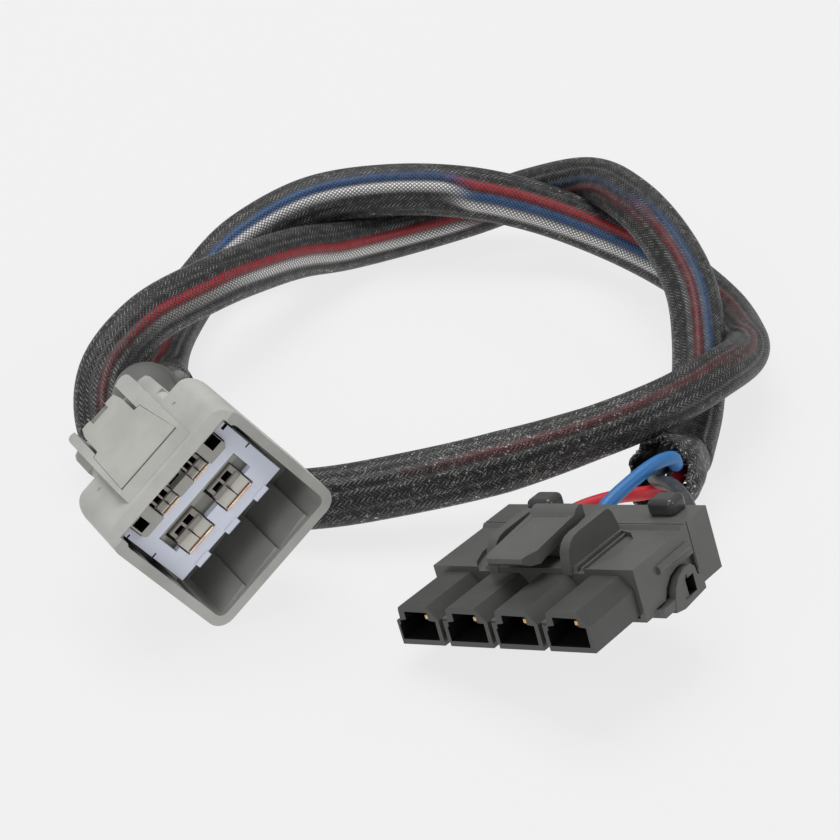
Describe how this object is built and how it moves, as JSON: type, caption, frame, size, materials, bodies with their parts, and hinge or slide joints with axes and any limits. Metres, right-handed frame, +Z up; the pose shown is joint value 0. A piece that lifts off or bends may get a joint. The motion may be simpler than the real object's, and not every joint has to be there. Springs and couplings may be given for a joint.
{
  "type": "trailer brake controller adapter lead",
  "caption": "Adapter lead: grey vehicle connector with latch and retainer plate, braided sleeve in loops, dark in-line plug with rocking latch.",
  "frame": {"origin": "under the middle of the two connectors, on the table they lie on", "axes": "+X from the grey vehicle connector towards the dark plug, +Y towards the loops of the lead, +Z up"},
  "size_m": [0.1281, 0.1817, 0.0399],
  "materials": {
    "grey_shell_plastic": "satin",
    "grey_inner_plastic": "satin",
    "white_plastic": "satin",
    "tinned_metal": "tinned",
    "brass": "plain",
    "dark_grey_plastic": "satin",
    "seal_rubber": "matte",
    "heat_shrink": "satin",
    "braided_sleeve": "woven",
    "red_insulation": "satin",
    "blue_insulation": "satin",
    "white_insulation": "satin",
    "black_insulation": "satin"
  },
  "bodies": {
    "root": {"vehicle_shell": "grey_shell_plastic", "terminal_carrier": "grey_inner_plastic", "power_terminal_left": "tinned_metal", "power_terminal_right": "tinned_metal", "signal_terminal_left": "tinned_metal", "signal_terminal_right": "tinned_metal", "rear_seal": "seal_rubber", "heat_shrink_collar": "heat_shrink", "braided_sleeve": "braided_sleeve", "sleeve_mouth": "braided_sleeve", "wire_red": "red_insulation", "wire_blue": "blue_insulation", "wire_white": "white_insulation", "wire_black": "black_insulation", "plug_housing": "dark_grey_plastic", "plug_contact_1": "brass", "plug_contact_2": "brass", "plug_contact_3": "brass", "plug_contact_4": "brass"},
    "shell_latch": {"shell_latch": "grey_shell_plastic"},
    "terminal_retainer": {"terminal_retainer": "white_plastic"},
    "plug_latch": {"plug_latch": "dark_grey_plastic"},
    "plug_lock": {"plug_lock": "dark_grey_plastic"}
  },
  "joints": [
    {"name": "shell_latch_press", "type": "hinge", "parent": "root", "child": "shell_latch", "pos_m": [-0.03774, 0.00286, 0.03162], "axis": [-0.6565, -0.3962, -0.6419], "range_deg": [0, 4], "stiffness_Nm_per_rad": 0.2},
    {"name": "terminal_retainer_slide", "type": "slide", "parent": "root", "child": "terminal_retainer", "axis": [0.478, -0.8768, 0.0523], "range_m": [0, 0.0018]},
    {"name": "plug_latch_press", "type": "hinge", "parent": "root", "child": "plug_latch", "pos_m": [0.02547, -0.00341, 0.01804], "axis": [-0.7612, 0.553, -0.3387], "range_deg": [0, 8], "stiffness_Nm_per_rad": 0.1},
    {"name": "plug_lock_slide", "type": "slide", "parent": "root", "child": "plug_lock", "axis": [-0.5878, -0.809, 0], "range_m": [0, 0.001]}
  ]
}
